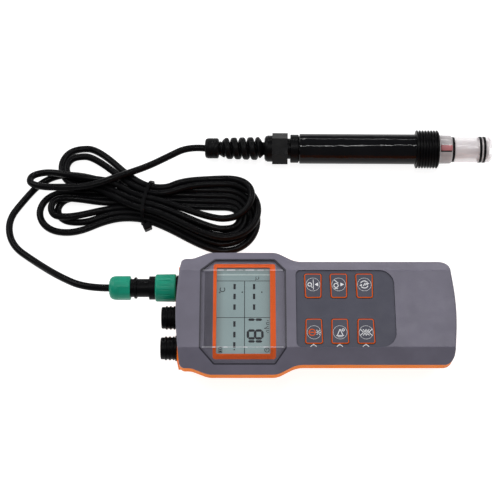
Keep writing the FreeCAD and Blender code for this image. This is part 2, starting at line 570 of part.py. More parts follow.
def membrane_cap():
    """A clear screw cap: two grooves for its bands, a slotted end, the membrane inside."""
    outer, groove = 8.45, 7.8
    profile = [(96.0, 6.1), (96.0, outer - 0.3), (96.3, outer)]
    for x in CAP_BANDS:
        profile += [(x, outer), (x, groove), (x + BAND_WIDE, groove), (x + BAND_WIDE, outer)]
    profile += [(CAP_END - 1.6, outer), (CAP_END, 6.9), (CAP_END, 5.4), (118.1, 5.4), (118.1, 6.1)]
    start = CAP_END - SLOT_DEPTH
    slot = box(start, CAP_END + 1, -SLOT_HALF, SLOT_HALF, -9.0, 9.0)
    slot = slot.fuse(box(start, CAP_END + 1, -9.0, 9.0, -SLOT_HALF, SLOT_HALF))
    slot.rotate(V(0, 0, 0), V(1, 0, 0), SLOT_TURN)
    return lathe(profile).cut(slot)


# ---------------------------------------------------------------- cable
def lead(points):
    """The cable along a route: every corner as round as its two runs allow."""
    radii = [0.0]
    for before, point, after in zip(points, points[1:], points[2:]):
        shorter = min((point - before).Length, (after - point).Length)
        half = (point - before).getAngle(after - point) / 2
        radii.append(0.45 * shorter / math.tan(half))
    path = rounded(points, radii + [0.0])
    start = points[0]
    ring = Part.Wire([Part.makeCircle(CABLE_D / 2, start, points[1] - start)])
    solid = path.makePipeShell([ring], True, True)
    length = path.Length
    print("cable lead: radii", [round(r) for r in radii[1:]], "length", round(length, 1),
          "volume ratio", round(solid.Volume / (length * math.pi * CABLE_D ** 2 / 4), 4))
    return solid


def hank():
    """The wound cable's outer form: two lobes, and a waist that fills the tie."""
    left = plan([
        (-106.8, 101.6), (-112.7, 73.8), (-131.0, 72.4), (-147.0, 66.8), (-160.0, 64.6), (-171.0, 66.2),
        (-178.5, 72.5), (-180.5, 82.0), (-180.0, 92.0), (-188.5, 98.5), (-188.5, 105.5), (-182.0, 110.0),
        (-170.0, 111.5), (-169.0, 122.0), (-163.5, 127.5), (-153.0, 129.4), (-144.0, 128.6),
        (-132.0, 121.5), (-120.0, 111.5)], 1.5)
    right = plan([
        (-101.8, 100.9), (-86.0, 103.0), (-66.0, 107.3), (-51.0, 107.4), (-41.0, 103.5), (-34.0, 94.5),
        (-32.5, 84.0), (-33.0, 71.5), (-38.0, 58.5), (-48.0, 51.9), (-60.0, 51.4), (-72.0, 54.6),
        (-87.0, 62.6), (-99.0, 68.8), (-107.3, 72.7)], 1.5)
    waist = at_tie(box(-6.0, 6.0, -WAIST_HALF, WAIST_HALF, WAIST_Z0, WAIST_Z1))
    room = at_tie(box(-2.6, 2.6, -30.0, 30.0, -1.0, HANK_TOP + 1))
    lobes = prism(left, 0.0, HANK_TOP).fuse(prism(right, 0.0, HANK_TOP)).cut(room)
    return lobes.fuse(waist).removeSplitter()


def at_tie(shape):
    """Moves a shape drawn about the middle of the tie to its place round the hank's waist."""
    place = FreeCAD.Placement(V(TIE_X, TIE_Y, 0), FreeCAD.Rotation(V(0, 0, 1), TIE_ANGLE))
    return moved(shape, place)


def cable_tie():
    half, top, thick = WAIST_HALF, WAIST_Z1, STRAP_THICK
    strap = box(-STRAP_HALF, STRAP_HALF, -half - thick, half + thick, 0.0, top + thick)
    strap = strap.cut(box(-2, 2, -half, half, WAIST_Z0, top))
    edges = [edge for edge in strap.Edges if abs(edge.Length - 2 * STRAP_HALF) < 0.01]
    outer = [edge for edge in edges if abs(edge.CenterOfMass.y) > half + thick / 2]
    strap = strap.makeFillet(thick - 0.1, outer)
    x0, x1, y0, y1, z0, z1 = TIE_HEAD
    return at_tie(strap.fuse(box(x0, x1, y0, y1, z0, z1)))


def cable():
    parts["cable_hank"] = hank()
    parts["cable_lead_meter"] = lead([V(*point) for point in METER_LEAD]).cut(parts["cable_hank"])
    place = probe_placement()
    out = [place.multVec(V(x, 0, 0)) for x in PROBE_LEAD_OUT]
    route = out + [V(*point) for point in PROBE_LEAD]
    parts["cable_lead_probe"] = lead(route).cut(parts["cable_hank"])
    parts["cable_tie"] = cable_tie()
    y = PORT_Y[0]
    in_plug = rod(PLUG_TAIL, PLUG_REAR, CABLE_D, y, PORT_Z)
    in_plug = in_plug.fuse(rod(PLUG_REAR, PLUG_CORE - 1, CONDUCTOR_D, y, PORT_Z))
    in_probe = rod(RELIEF_END, GLAND_SEAL[1], CABLE_D).fuse(rod(GLAND_SEAL[1], 109.0, CONDUCTOR_D))
    parts["cable_ends"] = Part.Compound([in_plug, moved(in_probe, place)])


def main():
    parts["upper_shell"] = upper_shell()
    parts["lower_shell"] = lower_shell()
    parts["case_seal"] = case_seal()
    parts["case_screws"] = case_screws()
    display()
    keypad()
    electronics()
    battery_bay()
    ports()
    plug()
    probe()
    cable()
    cord = {"cable_lead_meter", "cable_lead_probe", "cable_hank", "cable_tie", "cable_ends", "plug_body",
            "plug_insert", "plug_pins", "coupling_ring", "plug_nut", "plug_grommet"}
    rest = Part.Compound([shape for name, shape in parts.items() if name not in cord])
    around = rest.optimalBoundingBox()
    shift = V(-around.Center.x, -around.Center.y, 0)
    print("shift", shift, "box", around)
    os.makedirs("parts", exist_ok=True)
    for name, shape in parts.items():
        shape.translated(shift).exportStep(f"parts/{name}.step")
        print(f"{name:18s} solids {len(shape.Solids):2d} volume {shape.Volume:9.1f} valid {shape.isValid()}")


if __name__ == "__main__":
    main()
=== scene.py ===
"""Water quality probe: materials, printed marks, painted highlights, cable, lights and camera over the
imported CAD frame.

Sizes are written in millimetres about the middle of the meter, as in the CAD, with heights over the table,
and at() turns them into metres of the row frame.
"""
import bmesh
import bpy
import json
import math
from mathutils import Matrix, Vector


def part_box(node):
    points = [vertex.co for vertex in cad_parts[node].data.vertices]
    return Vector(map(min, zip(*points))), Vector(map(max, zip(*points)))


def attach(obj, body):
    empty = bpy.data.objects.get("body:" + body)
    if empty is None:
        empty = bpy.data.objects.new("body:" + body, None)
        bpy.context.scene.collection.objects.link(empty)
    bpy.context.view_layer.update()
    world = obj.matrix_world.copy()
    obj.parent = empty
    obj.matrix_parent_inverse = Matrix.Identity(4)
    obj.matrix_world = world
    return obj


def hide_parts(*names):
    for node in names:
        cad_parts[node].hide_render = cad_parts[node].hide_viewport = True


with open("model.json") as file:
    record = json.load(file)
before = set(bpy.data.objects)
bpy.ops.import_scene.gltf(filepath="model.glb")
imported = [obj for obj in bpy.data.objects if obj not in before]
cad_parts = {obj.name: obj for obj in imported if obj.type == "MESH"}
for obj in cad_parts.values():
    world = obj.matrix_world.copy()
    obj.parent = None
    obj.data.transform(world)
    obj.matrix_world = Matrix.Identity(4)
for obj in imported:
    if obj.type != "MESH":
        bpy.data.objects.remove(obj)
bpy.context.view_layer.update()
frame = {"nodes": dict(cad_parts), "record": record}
ROOT = "meter_and_probe"

# ---- where things are
PORT_TIP = -94.0                        # the free ports' mouths
LOW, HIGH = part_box("sensor_port_2")
MIDDLE = Vector((LOW.x - PORT_TIP / 1000, (LOW.y + HIGH.y) / 2, 0))
PROBE_LEFT, PROBE_RIGHT = (-69.6, 124.9), (121.7, 121.4)    # plan points of the probe's axis
PROBE_LOW_X, PROBE_HIGH_X = -24.8, 70.3     # where its hexagon and its collar touch the table
HEX_FLAT, COLLAR_R = 10.292, 12.6           # height of the axis over the table at those two places
CABLE_D, CABLE_LENGTH = 4.6, 2.07           # millimetres, and metres from the plug to the probe

# ---- display. On the glass, u runs from the window's port end and v from the meter's middle line.
GLASS_TOP = 37.9
WINDOW = (-60.0, -27.5, 27.5)           # x from, x to, half width
INK, SINK = 0.05, 0.01                  # how far a printed mark or painted highlight stands out, and how far it goes in
LCD_LINE, LCD_SPLIT, LCD_TOP, LCD_CROSS = 0.32, 17.0, 19.4, -4.2    # the dividing lines: width and places
# Each row of dashes: its u, and the v of each dash. Then the dots' places.
DASH_ROWS = ((10.9, (15.7, 9.3, 2.5, -8.3, -15.0, -21.5)), (22.8, (15.7, 9.3, 2.5)))
DASH_LONG, DASH_WIDE, DOT = 3.5, 1.4, 0.8
DOTS = ((15.6, 12.1), (27.5, 12.1), (10.9, -24.4), (29.4, -11.0))
DIGIT_U, DIGIT_TALL, DIGIT_WIDE, DIGIT_LINE, DIGIT_GAP = 23.4, 4.35, 4.9, 1.5, 0.16
EIGHT = ("top", "middle", "bottom", "left_up", "right_up", "left_down", "right_down")
ONE = ("right_up", "right_down")
DIGITS = ((-14.9, EIGHT), (-21.7, ONE), (-8.0, ONE))     # v and bars of each
DEGREES = ((3.5, 13.9, 1.45), (24.8, 21.4, 0.95))       # place and size of each degree sign
UNIT_U, UNIT_V, UNIT_STEP, UNIT_BARS, UNIT_LINE = 31.0, -6.2, 1.25, 7, 0.34
CELL_SIGN, CLOCK_SIGN = (2.6, -24.8), (30.4, -24.6)
REFLECTION_V, REFLECTION_WIDE = 23.4, 0.8           # a pale line painted along the back of the glass: the painted reflection of the lens's ridge

# ---- lens
LENS_TOP, LENS_RIDGE, LENS_X0, LENS_X1 = 43.4, 24.45, -68.4, -19.6
LENS_SINK, LENS_HIGHLIGHT_LINE = 0.02, 0.14       # the painted highlight lines on the ridges: how far under the lens's top, and how wide
# Broken painted highlights along the back and the front ridge of the lens.
LENS_PAINTED_GLINTS_BACK = ((-57.5, 3.6, 0.6), (-51.2, 5.2, 0.7), (-45.4, 2.6, 0.45), (-39.8, 5.4, 0.65),
                    (-33.2, 4.0, 0.55), (-29.2, 2.2, 0.4))      # x, length and width of each
LENS_PAINTED_GLINTS_FRONT = ((-61.4, 1.6, 0.5), (-54.2, 2.4, 0.5), (-42.5, 2.4, 0.5), (-35.6, 1.8, 0.35),
                     (-30.3, 2.8, 0.5), (-23.0, 6.5, 0.3))

# ---- keys
KEY_X0, KEY_PITCH, KEY_Y = -1.49, 15.57, 14.46
KEY_IN, KEY_OUT, KEY_IN_HALF, KEY_OUT_HALF = 6.7, 22.2, 4.8, 5.25
KEY_TOP = 43.0
KEY_RIM = 0.5                           # width of the coloured rim round a key's face
KEY_CORNER, KEY_CORNER_LEAST = 1.4, 0.3
LEGEND_R, LEGEND_LINE = 4.15, 0.17      # the circle round each sign
LEGEND_OUT = 0.75                       # how far the circle's middle lies out from the key's
THIN, BOLD = 0.45, 0.5                  # widths of the lines that the signs are drawn with
POWER_R, POWER_LINE, POWER_LEFT = 1.9, 0.55, 1.1
# The overlay's top, and the place of the painted glints below the lower keys.
OVERLAY_TOP, OVERLAY_GLINT_Y, OVERLAY_GLINT_LEFT = 42.6, -23.3, 0.4

# ---- strain relief, as x and radius in the probe's own frame
RELIEF_END, RELIEF_FRONT = -69.6, -24.0
RELIEF_X0, RELIEF_X1 = -60.2, -30.6      # where the rib starts and ends
RELIEF_CORE, RELIEF_R0, RELIEF_R1 = 4.35, 7.0, 7.85     # the core, and the first and the last crest
RELIEF_CREST, RELIEF_PITCH = -56.4, 5.5                 # a crest's x, and the distance to the next
RELIEF_FILL = 0.86                      # share of the pitch that the rib fills
RELIEF_FADE_IN, RELIEF_FADE_OUT = 7, 9  # how fast the rib grows at its start and falls at its end
RELIEF_BORE = CABLE_D / 2 + 0.02
RELIEF_LIP = 0.07                       # the sleeve's front is this much under the core
RELIEF_STEPS, RELIEF_SIDES = 160, 48
RELIEF_CAP = ((RELIEF_END, RELIEF_BORE), (RELIEF_END, 5.0), (-69.3, 5.9), (-68.6, 6.5), (-67.4, 6.75),
              (-64.6, 6.8), (-64.35, 6.6), (-64.1, 6.8), (-61.4, 6.75), (-60.8, 6.4), (-60.5, 5.6))

# ---- marks on the neck: name, material, slot, x from and to, degrees from and to
NECK_MARKS = (("neck_strip", "mark_red", "frame_orange", 86.2, 93.9, 9.0, 31.0),
              ("neck_line", "black_plastic", "black_plastic", 86.2, 93.6, 31.0, 36.0))
NECK_IN, NECK_OUT, NECK_TAPER = 9.2, 9.62, 0.04     # inner and outer radius, and their fall along x
NECK_STEPS, NECK_COLUMNS = 8, 6

# ---- cable tie
TIE = (-107.2, 87.2)
TIE_ANGLE = math.radians(-11.3)
TIE_HALF = 14.9                         # half of the strap's width across the bundle
STRAP_WIDE, STRAP_THICK = 1.05, 0.5     # half sizes of the strap
STRAP_BOW, BOW_FROM, BOW_RISE = 2.1, 3.0, 4.0   # the strap's bow, the height where it starts, and its rise
STRAP_STEPS = 4
TIE_SECTION = ((TIE_HALF, 3.6), (TIE_HALF - 0.2, 1.8), (TIE_HALF - 1.6, 0.62), (0.0, 0.6),
               (1.6 - TIE_HALF, 0.62), (0.2 - TIE_HALF, 1.6), (-TIE_HALF, 3.2), (0.6 - TIE_HALF, 5.4),
               (4.2 - TIE_HALF, 8.7), (7.8 - TIE_HALF, 10.4), (0.0, 10.65), (TIE_HALF - 4.6, 10.5),
               (TIE_HALF - 1.8, 9.0), (TIE_HALF - 0.3, 6.4))
TIE_HEAD_TURN = math.radians(38)
TIE_HEAD_ROUND, TIE_HEAD_STEPS = 0.5, 2
# The lock and the stub of the tail: middle, size, height from and to, bevel.
TIE_HEAD = (((3.6, -16.9), (5.2, 4.6), 1.6, 6.6, 0.6),
            ((5.9, -15.1), (3.2, 2.0), 4.4, 5.4, 0.2))

# ---- cable
FLOOR_Z, TIE_Z1, TIE_Z2 = 2.33, 3.5, 7.7        # the cable on the table, and its two layers in the tie
TIE_PASS = 9.0                          # a pass through the tie has a point this far each side of it
LOBE_LEAD = 9.0                         # a lobe's first and last point lie this far before its bend
LOBE_GROW = 1.05                        # the spline runs inside its points by this much
LOBE_STEP = 36                          # degrees between a lobe's points
BUNDLE_X, BUNDLE_Y = -134.0, 87.5       # where the turns of the lower left bundle run side by side
# Right-hand lobes: lane and height in the tie out and back, points over the crossing, and what lobe() takes.
RIGHT = (
    ((12.15, TIE_Z1), (-12.15, TIE_Z1), (), (-35.0, 21, 97.0, 53.4, FLOOR_Z, FLOOR_Z, FLOOR_Z)),
    ((8.1, TIE_Z1), (-8.1, TIE_Z1), (), (-39.2, 17, 92.9, 58.3, FLOOR_Z, FLOOR_Z, FLOOR_Z)),
    ((4.05, TIE_Z1), (-4.05, TIE_Z1), (), (-43.3, 13, 88.8, 64.2, FLOOR_Z, FLOOR_Z, FLOOR_Z)),
    ((0.0, TIE_Z1), (-2.05, TIE_Z2), (), (-46.5, 8.6, 84.7, 68.5, FLOOR_Z, FLOOR_Z, 4.0)),
    ((6.15, TIE_Z2), (-6.15, TIE_Z2), ((-81.0, 98.0, 7.0),), (-34.5, 21, 101.0, 61.0, 3.6, 6.9, 6.9)),
    ((10.25, TIE_Z2), (2.05, TIE_Z2), ((-85.0, 101.8, 6.7),), (-38.6, 17, 105.1, 74.7, 3.0, 11.4, 6.4)),
)
# Left-hand lobes: whether they lie in the lower bundle, and what lobe() takes.
LEFT = (
    (True, (-178.5, 17, 66.6, 95.6, FLOOR_Z, FLOOR_Z, FLOOR_Z)),
    (True, (-166.6, 11, 73.8, 91.5, FLOOR_Z, FLOOR_Z, FLOOR_Z)),
    (True, (-170.4, 6.4, 75.9, 89.1, 6.9, 7.1, 6.9)),
    (False, (-162.0, 9, 102.6, 119.8, 7.1, 7.1, 6.8)),
    (False, (-165.2, 14, 97.8, 127.3, 7.1, 7.1, 3.2)),
)
# The runs outside the lobes, from the plug to the bundle and from the bundle to the probe.
METER_LEAD = ((-127.0, 19.6, 24.9), (-142.0, 19.6, 24.9), (-160.0, 29.5, 18.5), (-179.0, 45.0, 5.0),
              (-195.5, 57.5, FLOOR_Z), (-199.3, 75.0, FLOOR_Z), (-189.5, 90.0, FLOOR_Z),
              (-180.0, 102.0, FLOOR_Z), (-168.0, 108.5, FLOOR_Z), (-153.0, 108.0, FLOOR_Z),
              (-138.0, 104.0, FLOOR_Z), (-124.0, 101.4, 2.8))
LAST_LOOP = ((-130.0, 100.6, 8.4), (-144.0, 101.2, 11.6), (-158.0, 103.4, 12.2), (-168.0, 106.0, 10.6),
             (-176.6, 107.6, 8.0), (-184.6, 104.4, 9.6), (-185.0, 97.4, 12.8), (-176.0, 93.8, 14.6),
             (-163.0, 93.8, 14.2), (-150.0, 94.6, 13.2), (-139.0, 97.0, 13.4), (-130.0, 100.9, 13.0))
PROBE_LEAD = ((-120.0, 105.6, 11.2), (-107.5, 112.4, 7.6), (-95.5, 120.0, 5.6))
PROBE_RUN = ((-81.0, 0.9, 0.3), (RELIEF_END, 0.0, 0.0))     # the last run, in the probe's own frame


def at(x, y, z):
    return MIDDLE + Vector((x, y, z)) / 1000


def probe_frame():
    """The probe's own axis laid on the table, as a matrix from its millimetres to the row frame."""
    tilt = math.atan((COLLAR_R - HEX_FLAT) / (PROBE_HIGH_X - PROBE_LOW_X))
    (x0, y0), (x1, y1) = PROBE_LEFT, PROBE_RIGHT
    yaw = math.atan2(y1 - y0, x1 - x0)
    height = (HEX_FLAT + (x0 - PROBE_LOW_X) * math.sin(tilt)) / math.cos(tilt)
    turn = Matrix.Rotation(yaw, 4, "Z") @ Matrix.Rotation(-tilt, 4, "Y")
    start = Matrix.Translation(at(x0, y0, height))
    return start @ turn @ Matrix.Scale(0.001, 4) @ Matrix.Translation((-x0, 0, 0))


PROBE = probe_frame()


# ---------------------------------------------------------------- materials
RAMP_FROM, RAMP_TO = 0.35, 0.65         # the part of a noise's range that a ramp blends over
GRAIN_DEPTH, RIPPLE_DEPTH, BRUSH_DEPTH = 0.00004, 0.0003, 0.00003      # depths of the bumps, in metres
CLEAR_ROUGH = 0.04


class Nodes:
    """Short names for building one node material."""

    def __init__(self, name):
        self.material = bpy.data.materials.new(name)
        self.material.use_nodes = True
        self.tree = self.material.node_tree
        self.shader = self.tree.nodes["Principled BSDF"]
        self.place = self.add("ShaderNodeTexCoord").outputs["Object"]

    def add(self, kind):
        return self.tree.nodes.new(kind)

    def link(self, out, into):
        self.tree.links.new(out, into)

    def noise(self, scale, detail, stretch=(1, 1, 1)):
        mapping = self.add("ShaderNodeMapping")
        mapping.inputs["Scale"].default_value = stretch
        self.link(self.place, mapping.inputs["Vector"])
        noise = self.add("ShaderNodeTexNoise")
        noise.inputs["Scale"].default_value = scale
        noise.inputs["Detail"].default_value = detail
        self.link(mapping.outputs["Vector"], noise.inputs["Vector"])
        return noise.outputs["Fac"]

    def ramp(self, value, low, high):
        """Turns a value into a blend from low to high, each a colour or a number."""
        if not hasattr(low, "__len__"):
            low, high = (low,) * 3, (high,) * 3
        ramp = self.add("ShaderNodeValToRGB")
        first, last = ramp.color_ramp.elements
        first.position, last.position = RAMP_FROM, RAMP_TO
        first.color, last.color = (*low, 1), (*high, 1)
        self.link(value, ramp.inputs["Fac"])
        return ramp.outputs["Color"]

    def bump(self, value, strength, distance):
        bump = self.add("ShaderNodeBump")
        bump.inputs["Strength"].default_value = strength
        bump.inputs["Distance"].default_value = distance
        self.link(value, bump.inputs["Height"])
        return bump.outputs["Normal"]

    def set(self, **values):
        for key, value in values.items():
            self.shader.inputs[key.replace("_", " ")].default_value = value
        return self


def shade(color, factor):
    return tuple(min(1.0, c * factor) for c in color)


def moulded(name, color, rough=0.45, grain=0.25, spread=0.07, grain_scale=2600, **extra):
    """Moulded plastic or rubber: fine grain, faint mottling and handling wear in the gloss."""
    nodes = Nodes(name)
    mottle = nodes.noise(60, 4)
    nodes.link(nodes.ramp(mottle, shade(color, 1 - spread), shade(color, 1 + spread)),
               nodes.shader.inputs["Base Color"])
    nodes.link(nodes.ramp(nodes.noise(140, 3), rough - 0.05, rough + 0.06), nodes.shader.inputs["Roughness"])
    nodes.link(nodes.bump(nodes.noise(grain_scale, 2), grain, GRAIN_DEPTH), nodes.shader.inputs["Normal"])
    return nodes.set(**extra).material


def polished(name, color, ior):
    """Polished moulding: slow ripples along its length break up the lamps' reflections."""
    nodes = Nodes(name)
    nodes.link(nodes.ramp(nodes.noise(60, 4), shade(color, 0.8), shade(color, 1.2)),
               nodes.shader.inputs["Base Color"])
    nodes.link(nodes.ramp(nodes.noise(300, 3), 0.03, 0.07), nodes.shader.inputs["Roughness"])
    nodes.link(nodes.bump(nodes.noise(300, 2, (0.5, 1, 1)), 0.5, RIPPLE_DEPTH), nodes.shader.inputs["Normal"])
    return nodes.set(IOR=ior).material


def metal(name, color, rough):
    """Metal with faint marks that change its colour, its gloss and its surface together."""
    nodes = Nodes(name)
    marks = nodes.noise(900, 3)
    nodes.link(nodes.ramp(marks, shade(color, 0.88), shade(color, 1.05)), nodes.shader.inputs["Base Color"])
    nodes.link(nodes.ramp(marks, rough * 0.7, rough * 1.4), nodes.shader.inputs["Roughness"])
    nodes.link(nodes.bump(marks, 0.08, BRUSH_DEPTH), nodes.shader.inputs["Normal"])
    return nodes.set(Metallic=1.0).material


def clear(name, color, alpha, IOR=1.49):
    """Clear plastic that lets what is behind it show, with faint streaks."""
    nodes = Nodes(name)
    nodes.link(nodes.ramp(nodes.noise(90, 3), shade(color, 0.94), color), nodes.shader.inputs["Base Color"])
    nodes.link(nodes.ramp(nodes.noise(220, 3), CLEAR_ROUGH, CLEAR_ROUGH + 0.05),
               nodes.shader.inputs["Roughness"])
    return nodes.set(Alpha=alpha, IOR=IOR).material


GREY = (0.141, 0.132, 0.174)
ORANGE = (0.95, 0.215, 0.005)
FRAME_ORANGE = (0.74, 0.10, 0.006)
SLATE = (0.061, 0.061, 0.086)
GREEN = (0.0015, 0.265, 0.164)
BLACK = (0.0025, 0.0025, 0.003)

MATERIALS = {
    "case_grey": moulded("case_grey", GREY, 0.42, 0.3, Specular_IOR_Level=0.35),
    "case_orange": moulded("case_orange", ORANGE, 0.5, 0.25, 0.04, Specular_IOR_Level=0.08),
    "frame_orange": moulded("frame_orange", FRAME_ORANGE, 0.45, 0.1, 0.05, Specular_IOR_Level=0.08),
    "overlay_slate": moulded("overlay_slate", SLATE, 0.5, 0.2, 0.05, 4000, Specular_IOR_Level=0.3),
    "black_plastic": moulded("black_plastic", BLACK, 0.36, 0.25, 0.1, IOR=1.16),
    "black_gloss": polished("black_gloss", (0.004, 0.004, 0.005), 1.22),
    "green_plastic": moulded("green_plastic", GREEN, 0.4, 0.2, 0.06, Specular_IOR_Level=0.3),
    "rubber": moulded("rubber", BLACK, 0.42, 0.3, 0.1, IOR=1.18),
    "cable_black": moulded("cable_black", BLACK, 0.3, 0.15, 0.12, 1500, IOR=1.17),
    "clear": clear("clear", (0.40, 0.40, 0.44), 0.04, IOR=1.3),
    "clear_cap": clear("clear_cap", (0.90, 0.84, 0.86), 0.42),
    "lcd": moulded("lcd", (0.265, 0.355, 0.36), 0.35, 0.05, 0.03, 3000, Specular_IOR_Level=0.25),
    # Pale colour of the line painted on the glass as the reflection of the lens's ridge.
    "lcd_painted_reflection": moulded("lcd_painted_reflection", (0.47, 0.58, 0.57), 0.3, 0.05, 0.05, 3000),
    # White paint for the painted highlights on the lens's ridges.
    "lens_highlight_paint": moulded("lens_highlight_paint", (0.80, 0.80, 0.84), 0.3, 0.1, 0.1, 900),
    "neck_clear": moulded("neck_clear", (0.34, 0.315, 0.32), 0.2, 0.3, 0.3, 220),
    "lcd_ink": moulded("lcd_ink", (0.004, 0.006, 0.008), 0.5, 0.05, 0.05, Specular_IOR_Level=0.1),
    "gasket_slate": moulded("gasket_slate", (0.022, 0.020, 0.032), 0.45, 0.2, 0.1),
    "white_plastic": moulded("white_plastic", (0.72, 0.71, 0.69), 0.4, 0.1, 0.04),
    "legend_white": moulded("legend_white", (0.78, 0.78, 0.80), 0.5, 0.1, 0.05, 4000),
    "board_green": moulded("board_green", (0.02, 0.12, 0.05), 0.35, 0.1, 0.1),
    "cell_blue": moulded("cell_blue", (0.03, 0.06, 0.18), 0.25, 0.05, 0.05),
    "steel": metal("steel", (0.55, 0.55, 0.57), 0.3),
    "chrome": metal("chrome", (0.72, 0.72, 0.74), 0.1),
    "gold": metal("gold", (0.85, 0.60, 0.22), 0.2),
    "silver": metal("silver", (0.75, 0.75, 0.76), 0.25),
    "mark_red": moulded("mark_red", (0.38, 0.13, 0.14), 0.35, 0.1, 0.3, 800),
}
OWN_LOOKS = {"membrane_cap": "clear_cap", "neck_sleeve": "neck_clear", "lens_gasket": "gasket_slate"}


def paint_cad_nodes():
    """Every CAD node takes the material of its slot in the record, or a look of its own."""
    for part in frame["record"]["subparts"]:
        node = frame["nodes"][part["node"]]
        node.data.materials.clear()
        node.data.materials.append(MATERIALS[part["material_slot"]])
    for name, look in OWN_LOOKS.items():
        frame["nodes"][name].data.materials[0] = MATERIALS[look]


# ---------------------------------------------------------------- meshes
def piece(name, mesh, material, body=ROOT, slot=None, smooth=True):
    obj = bpy.data.objects.new(name, mesh)
    bpy.context.scene.collection.objects.link(obj)
    mesh.materials.append(MATERIALS[material])
    if smooth:
        for face in mesh.polygons:
            face.use_smooth = True
    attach(obj, body)
    return (obj, slot or material)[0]


def mesh_from(name, points, faces):
    mesh = bpy.data.meshes.new(name)
    mesh.from_pydata(points, [], faces)
    work = bmesh.new()
    work.from_mesh(mesh)
    bmesh.ops.recalc_face_normals(work, faces=work.faces)
    work.to_mesh(mesh)
    work.free()
    return mesh


def prisms(outlines, z0, z1):
    """Points and faces of upright prisms. An outline is a list of (x, y), or a pair of them for a ring."""
    points, faces = [], []
    for outline in outlines:
        loops = outline if isinstance(outline[0], list) else [outline]
        count = len(loops[0])
        base = len(points)
        for loop in loops:
            for z in (z0, z1):
                points += [at(x, y, z) for x, y in loop]
        for index, _ in enumerate(loops):
            low = base + 2 * count * index
            faces += [(low + i, low + (i + 1) % count, low + count + (i + 1) % count, low + count + i)
                      for i in range(count)]
        if len(loops) == 1:
            faces.append(list(range(base, base + count)))
            faces.append(list(range(base + count, base + 2 * count)))
        else:
            for level in (0, count):
                faces += [(base + level + i, base + level + (i + 1) % count,
                           base + level + 2 * count + (i + 1) % count, base + level + 2 * count + i)
                          for i in range(count)]
    return points, faces


def marks(name, outlines, z, material, body=ROOT, slot=None):
    points, faces = prisms(outlines, z - SINK, z + INK)
    return piece(name, mesh_from(name, points, faces), material, body, slot, smooth=False)


def rectangle(x, y, width, height):
    return [(x - width / 2, y - height / 2), (x + width / 2, y - height / 2),
            (x + width / 2, y + height / 2), (x - width / 2, y + height / 2)]


def arc(x, y, radius, start, end, steps=24):
    angles = [math.radians(start + (end - start) * i / steps) for i in range(steps + 1)]
    return [(x + radius * math.cos(a), y + radius * math.sin(a)) for a in angles]


def stroke(x, y, radius, width, start, end):
    """A thick arc as one outline."""
    return arc(x, y, radius + width / 2, start, end) + arc(x, y, radius - width / 2, end, start)


def ring(x, y, radius, width, steps=48):
    return [arc(x, y, radius + side * width / 2, 0, 360, steps)[:-1] for side in (1, -1)]


def rounded(corners, radius, steps=5):
    """A closed outline with each corner rounded by the same radius."""
    out = []
    for i, corner in enumerate(corners):
        here = Vector(corner)
        before = (Vector(corners[i - 1]) - here).normalized()
        after = (Vector(corners[(i + 1) % len(corners)]) - here).normalized()
        half = before.angle(after) / 2
        reach = radius / math.tan(half)
        centre = here + (before + after).normalized() * (radius / math.sin(half))
        first = here + before * reach - centre
        last = here + after * reach - centre
        swing = first.angle_signed(last)
        for step in range(steps + 1):
            turn = Matrix.Rotation(-swing * step / steps, 2)
            out.append(tuple(centre + turn @ first))
    return out


def triangle(x, y, size, way):
    return [(x - way * size, y), (x + way * size * 0.75, y - size), (x + way * size * 0.75, y + size)]


def slant(x, y, long, wide, degrees):
    """A straight bar at an angle."""
    cos, sin = math.cos(math.radians(degrees)), math.sin(math.radians(degrees))
    return [(x + a * cos - b * sin, y + a * sin + b * cos) for a, b in rectangle(0, 0, long, wide)]


def closed_curve(corners, steps):
    """A smooth closed curve through the corners, as points."""
    out = []
    for i, _ in enumerate(corners):
        a, b, c, d = (Vector(corners[(i + k - 1) % len(corners)]) for k in range(4))
        for step in range(steps):
            t = step / steps
            out.append(0.5 * (2 * b + (c - a) * t + (2 * a - 5 * b + 4 * c - d) * t * t
                              + (3 * b - a - 3 * c + d) * t ** 3))
    return out


# ---------------------------------------------------------------- display content
def on_glass(u, v):
    """A place on the glass: u from the window's port end, v from the meter's middle line."""
    return WINDOW[0] + u, v


def segment(u, v, long, wide, along):
    """One bar of a digit, with pointed ends."""
    x, y = on_glass(u, v)
    tip = wide / 2
    half = long / 2
    shape = [(-half, 0), (-half + tip, -tip), (half - tip, -tip),
             (half, 0), (half - tip, tip), (-half + tip, tip)]
    return [(x + a, y + b) if along == "u" else (x + b, y + a) for a, b in shape]


def digit(u, v, bars):
    """A seven-bar digit that reads from the meter's front to its back. u and v are its centre."""
    tall, wide = DIGIT_TALL, DIGIT_WIDE
    places = {
        "top": (u - tall, v, wide, "v"),
        "middle": (u, v, wide, "v"),
        "bottom": (u + tall, v, wide, "v"),
        "left_up": (u - tall / 2, v - wide / 2, tall, "u"),
        "right_up": (u - tall / 2, v + wide / 2, tall, "u"),
        "left_down": (u + tall / 2, v - wide / 2, tall, "u"),
        "right_down": (u + tall / 2, v + wide / 2, tall, "u"),
    }
    return [segment(a, b, long - DIGIT_GAP, DIGIT_LINE, along)
            for a, b, long, along in (places[name] for name in bars)]


def dividing_lines():
    x0, x1, half = WINDOW
    span = x1 - x0
    return [rectangle(*on_glass(span / 2, LCD_TOP), span, LCD_LINE),
            rectangle(*on_glass(span / 2, LCD_CROSS), span, LCD_LINE),
            rectangle(*on_glass(LCD_SPLIT, (LCD_TOP - half) / 2), LCD_LINE * 1.25, LCD_TOP + half)]


def degree_sign(u, v, size):
    """An open letter with a small circle before it."""
    x, y = on_glass(u, v)
    return [stroke(x, y, size, size * 0.34, 130, 410),
            ring(x - size * 1.15, y - size * 1.35, size * 0.22, size * 0.2, 12)]


